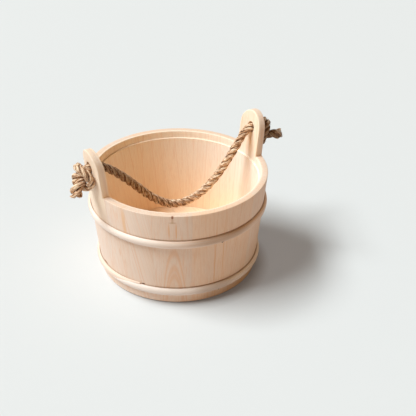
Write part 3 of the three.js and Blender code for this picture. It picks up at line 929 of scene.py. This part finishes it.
class BUCKET_OT_ear_staves(bpy.types.Operator):
    """Build the two staves that rise into round-topped ears with a rope hole"""
    bl_idname = "bucket.ear_staves"
    bl_label = "Ear staves"

    # Steps round half of an ear or a hole, width of the flat strips of the bent plank, height over which the
    # wall's thickness changes at a step, and lean of the pith
    arc_steps = 28
    strip = 2.6 * MM
    step_height = 0.05 * MM
    lean = (0.03, 0.04)

    def execute(self, context):
        sizes = context.scene.bucket_sizes
        finish = context.scene.bucket_finish
        half_angle = stave_span("stave_back_1", sizes)[0] - sizes.seam / sizes.rim_diameter
        for side, turn in (("right", 0), ("left", math.pi)):
            builder = bmesh.new()
            self.cut_plank(builder, sizes, half_angle)
            self.bend_to_wall(builder, sizes)
            bmesh.ops.rotate(builder, verts=builder.verts, cent=(0, 0, 0),
                             matrix=Matrix.Rotation(turn, 3, "Z"))
            name = f"ear_stave_{side}"
            wood = stave_wood(name, sizes, finish)
            piece = finish_piece(f"pine_{name}", builder, wood, "bucket", name)
            chance = random.Random(f"{finish.seed} {name}")
            pith = (chance.uniform(-40, 40), -chance.uniform(30, 70), chance.uniform(0, 900))
            store_grain(piece, sizes, turn, pith, self.lean, EAR_TONE)
            # The flat faces stay flat in the light, and only the rounded edges turn
            piece.modifiers.new("flat_faces", "WEIGHTED_NORMAL").keep_sharp = True
        return {"FINISHED"}

    def outline(self, sizes, half_angle, depth):
        """Half of the plank's edge at a depth, from the foot's middle to the ear's top, as (across, up)."""
        top = sizes.body_height
        width = sizes.ear_width / 2
        foot = (outside(sizes, 0) - depth) * math.sin(half_angle)
        shoulder = (outside(sizes, top) - depth) * math.sin(half_angle)
        points = [(0, 0), (foot, 0), (shoulder, top), (width, top)]
        for step in range(self.arc_steps + 1):
            angle = math.pi / 2 * step / self.arc_steps
            points.append((width * math.cos(angle), sizes.hole_height + width * math.sin(angle)))
        return points

    def cut_plank(self, builder, sizes, half_angle):
        """A flat plank of two halves that meet along its middle line, bored and with rounded ear edges."""
        bore = sizes.hole_diameter / 2
        layers = []
        for depth in (0, sizes.rim_wall):
            edge = self.outline(sizes, half_angle, depth)
            angles = [math.pi * step / self.arc_steps for step in range(self.arc_steps + 1)]
            hole = [(bore * math.sin(angle), sizes.hole_height + bore * math.cos(angle)) for angle in angles]
            layers.append([[builder.verts.new((-depth, side * across, up)) for across, up in edge + hole]
                           for side in (1, -1)])
        for front, back in zip(*layers):
            builder.faces.new(front)
            builder.faces.new(back)
            for here, there in zip(range(len(front)), list(range(1, len(front))) + [0]):
                if max(abs(front[here].co.y), abs(front[there].co.y)) > MERGE:
                    builder.faces.new((front[here], front[there], back[there], back[here]))
        bmesh.ops.remove_doubles(builder, verts=builder.verts, dist=MERGE)
        bmesh.ops.recalc_face_normals(builder, faces=builder.faces)
        edges = [e for e in builder.edges if e.calc_face_angle(0) > math.radians(60)
                 and max(v.co.z for v in e.verts) > sizes.body_height + LEVEL]
        bmesh.ops.bevel(builder, geom=edges, offset=sizes.ear_arris, offset_type="OFFSET", segments=3,
                        profile=0.5, affect="EDGES", material=-1, clamp_overlap=True)

    def bend_to_wall(self, builder, sizes):
        """Bend the flat plank to the bucket's cone, with the wall's step, groove and foot chamfer."""
        band_foot = sizes.body_height - sizes.rim_band
        levels = [sizes.foot_chamfer]
        for edge in (sizes.groove_foot, sizes.groove_top, band_foot):
            levels += [edge, edge + self.step_height]
        cuts = [((0, 0, level), (0, 0, 1)) for level in levels]
        count = int(sizes.ear_width / self.strip / 2) + 1
        cuts += [((0, (index + 0.5) * self.strip, 0), (0, 1, 0)) for index in range(-count, count)]
        for place, normal in cuts:
            geometry = list(builder.verts) + list(builder.edges) + list(builder.faces)
            bmesh.ops.bisect_plane(builder, geom=geometry, dist=MERGE, plane_co=place, plane_no=normal)
        for vert in builder.verts:
            height = vert.co.z
            below = height - self.step_height / 2
            share = -vert.co.x / sizes.rim_wall
            extra = sizes.wall - sizes.rim_wall if below < band_foot else 0
            if sizes.groove_foot < below < sizes.groove_top:
                extra -= sizes.groove_depth
            chamfer = max(0, sizes.foot_chamfer - height)
            radius = outside(sizes, height) - share * (sizes.rim_wall + extra) - chamfer * (1 - 2 * share)
            vert.co.x = math.sqrt(radius * radius - vert.co.y * vert.co.y)


class BUCKET_OT_hoops(bpy.types.Operator):
    """Bend the two half-round hoops round the staves and scarf their ends together"""
    bl_idname = "bucket.hoops"
    bl_label = "Hoops"

    # Steps across the half-round face and steps round the hoop
    arc_steps = 18
    bend_steps = 400

    # Each hoop: its scarf's angle in degrees, the share of the scarf after which the first end is full width,
    # and how far the last end's tip rides up
    scarfs = {"upper_hoop": (131, 1, 0), "lower_hoop": (198, 0.8, 2.9 * MM)}

    # Gap in the scarf, and the share of an end's width that is cut off blunt
    gap = 0.06 * MM
    blunt = 0.03

    # Spacing of the rings, and the pith's place up from the strip's middle and out from its back, in mm
    ring = 3.4
    pith = (9, -38)

    def execute(self, context):
        sizes = context.scene.bucket_sizes
        finish = context.scene.bucket_finish
        for name in self.scarfs:
            builder = bmesh.new()
            height = node_middle(name).z
            reach = sizes.scarf_length / 2 / outside(sizes, height)
            self.mould_strip(builder, sizes, math.tau + 2 * reach)
            self.bend(builder, sizes, height, reach, *self.scarfs[name])
            wood = material_named(f"moulded_pine_{name}", pine, grain_of_attribute, finish, ring=self.ring,
                                  contrast=0.55, marks=MARKS_AND_PAINTED_SHADING[name])
            piece = finish_piece(f"pine_{name}", builder, wood, "bucket", name, sharp=50)
            store_tone(piece.data, HOOP_TONE)
        return {"FINISHED"}

    def depth_at(self, sizes, up):
        """How far the half-round strip stands out at a height from its middle."""
        share = 2 * up / sizes.hoop_width
        return max(sizes.hoop_depth * math.sqrt(max(0, 1 - share * share)), sizes.hoop_edge)

    def mould_strip(self, builder, sizes, turn):
        """A straight half-round strip along X, as long as the angle that it will go round."""
        half = sizes.hoop_width / 2
        section = []
        for step in range(self.arc_steps + 1):
            up = half * math.sin(math.pi * (step / self.arc_steps - 0.5))
            section.append((self.depth_at(sizes, up), up))
        # The back is eased away from the wall below the upper edge
        section += [(0.8 * MM, half - 0.1 * MM), (0, half - 3.2 * MM), (0, -half)]
        end = builder.faces.new([builder.verts.new((0, depth, up)) for depth, up in section])
        far = bmesh.ops.extrude_face_region(builder, geom=[end])["geom"]
        bmesh.ops.translate(builder, verts=[part for part in far if isinstance(part, bmesh.types.BMVert)],
                            vec=(turn, 0, 0))
        lengthwise = [e for e in builder.edges if abs(e.verts[0].co.x - e.verts[1].co.x) > turn / 2]
        bmesh.ops.subdivide_edges(builder, edges=lengthwise, cuts=self.bend_steps - 1)

    def bend(self, builder, sizes, height, reach, scarf, closes, lift):
        """Store the strip's grain and places, cut its ends to the scarf's slant and bend it to the wall."""
        half = sizes.hoop_width / 2
        wall = outside(sizes, height) / MM
        start = math.radians(scarf) - reach
        front = 1.5 * math.pi
        grain = builder.verts.layers.float_vector.new("grain")
        board = builder.verts.layers.float_vector.new("board")
        for vert in builder.verts:
            turn, depth, up = vert.co
            vert[board] = ((start + turn - front) * wall, 0, up / MM)
            vert[grain] = (up / MM - self.pith[0], depth / MM - self.pith[1], turn * wall)
            first = turn / (2 * reach)
            last = (turn - math.tau) / (2 * reach)
            if first < closes:
                cut = half * (2 * max(first, self.blunt) / closes - 1)
                if up > cut:
                    up = cut
                    depth = min(depth, self.depth_at(sizes, cut))
            if last > 0:
                cut = half * (2 * min(last / closes, 1 if lift else 1 - self.blunt) - 1) + self.gap
                up += lift * last * last
                if up < cut:
                    up = cut
                    depth = min(depth, self.depth_at(sizes, cut - lift * last * last))
                # A tip that rides up by 1 mm or more is thinned to half
                depth *= 1 - 0.5 * min(lift / MM, 1) * last * last
            radius = outside(sizes, height + up) + depth
            vert.co = (radius * math.cos(start + turn), radius * math.sin(start + turn), height + up)


class BUCKET_OT_floor_boards(bpy.types.Operator):
    """Finish the floor boards and the dowels that join them"""
    bl_idname = "bucket.floor_boards"
    bl_label = "Floor boards"

    def execute(self, context):
        finish = context.scene.bucket_finish
        boards = material_named("planed_pine_floor", pine, grain_of_board, finish, inside=1)
        dowels = material_named("turned_beech_dowels", pine, grain_of_board, finish, ring=1.6, contrast=0.3)
        for name, node in frame["nodes"].items():
            if name.startswith("floor_board"):
                ease_edges(node, boards, 0.5 * MM)
            if name.startswith("floor_dowel"):
                ease_edges(node, dowels, 0.4 * MM)
        return {"FINISHED"}


class BUCKET_OT_brads(bpy.types.Operator):
    """Finish the brads that hold the hoops"""
    bl_idname = "bucket.brads"
    bl_label = "Brads"

    def execute(self, context):
        wire = material_named("cut_iron_wire_brads", iron_wire, context.scene.bucket_finish)
        for name, node in frame["nodes"].items():
            if "brad" in name:
                ease_edges(node, wire, 0.25 * MM)
        return {"FINISHED"}


class BUCKET_PT_pieces(bpy.types.Panel):
    """Buttons and values for the bucket"""
    bl_idname = "BUCKET_PT_pieces"
    bl_label = "Staved bucket"
    bl_space_type = "VIEW_3D"
    bl_region_type = "UI"
    bl_category = "Bucket"

    def draw(self, context):
        for operator in OPERATORS:
            self.layout.operator(operator.bl_idname)
        for group in (context.scene.bucket_sizes, context.scene.bucket_finish):
            for name in group.__annotations__:
                self.layout.prop(group, name)


OPERATORS = (BUCKET_OT_stage, BUCKET_OT_rope, BUCKET_OT_staves, BUCKET_OT_ear_staves, BUCKET_OT_hoops,
             BUCKET_OT_floor_boards, BUCKET_OT_brads)
CLASSES = (BucketSizes, BucketFinish, *OPERATORS, BUCKET_PT_pieces)


def register():
    for cls in CLASSES:
        bpy.utils.register_class(cls)
    bpy.types.Scene.bucket_sizes = PointerProperty(type=BucketSizes)
    bpy.types.Scene.bucket_finish = PointerProperty(type=BucketFinish)


def unregister():
    del bpy.types.Scene.bucket_finish
    del bpy.types.Scene.bucket_sizes
    for cls in reversed(CLASSES):
        bpy.utils.unregister_class(cls)


def main():
    register()
    bpy.ops.bucket.stage()
    bpy.ops.bucket.rope()
    bpy.ops.bucket.staves()
    bpy.ops.bucket.ear_staves()
    bpy.ops.bucket.hoops()
    bpy.ops.bucket.floor_boards()
    bpy.ops.bucket.brads()


if __name__ == "__main__":
    main()
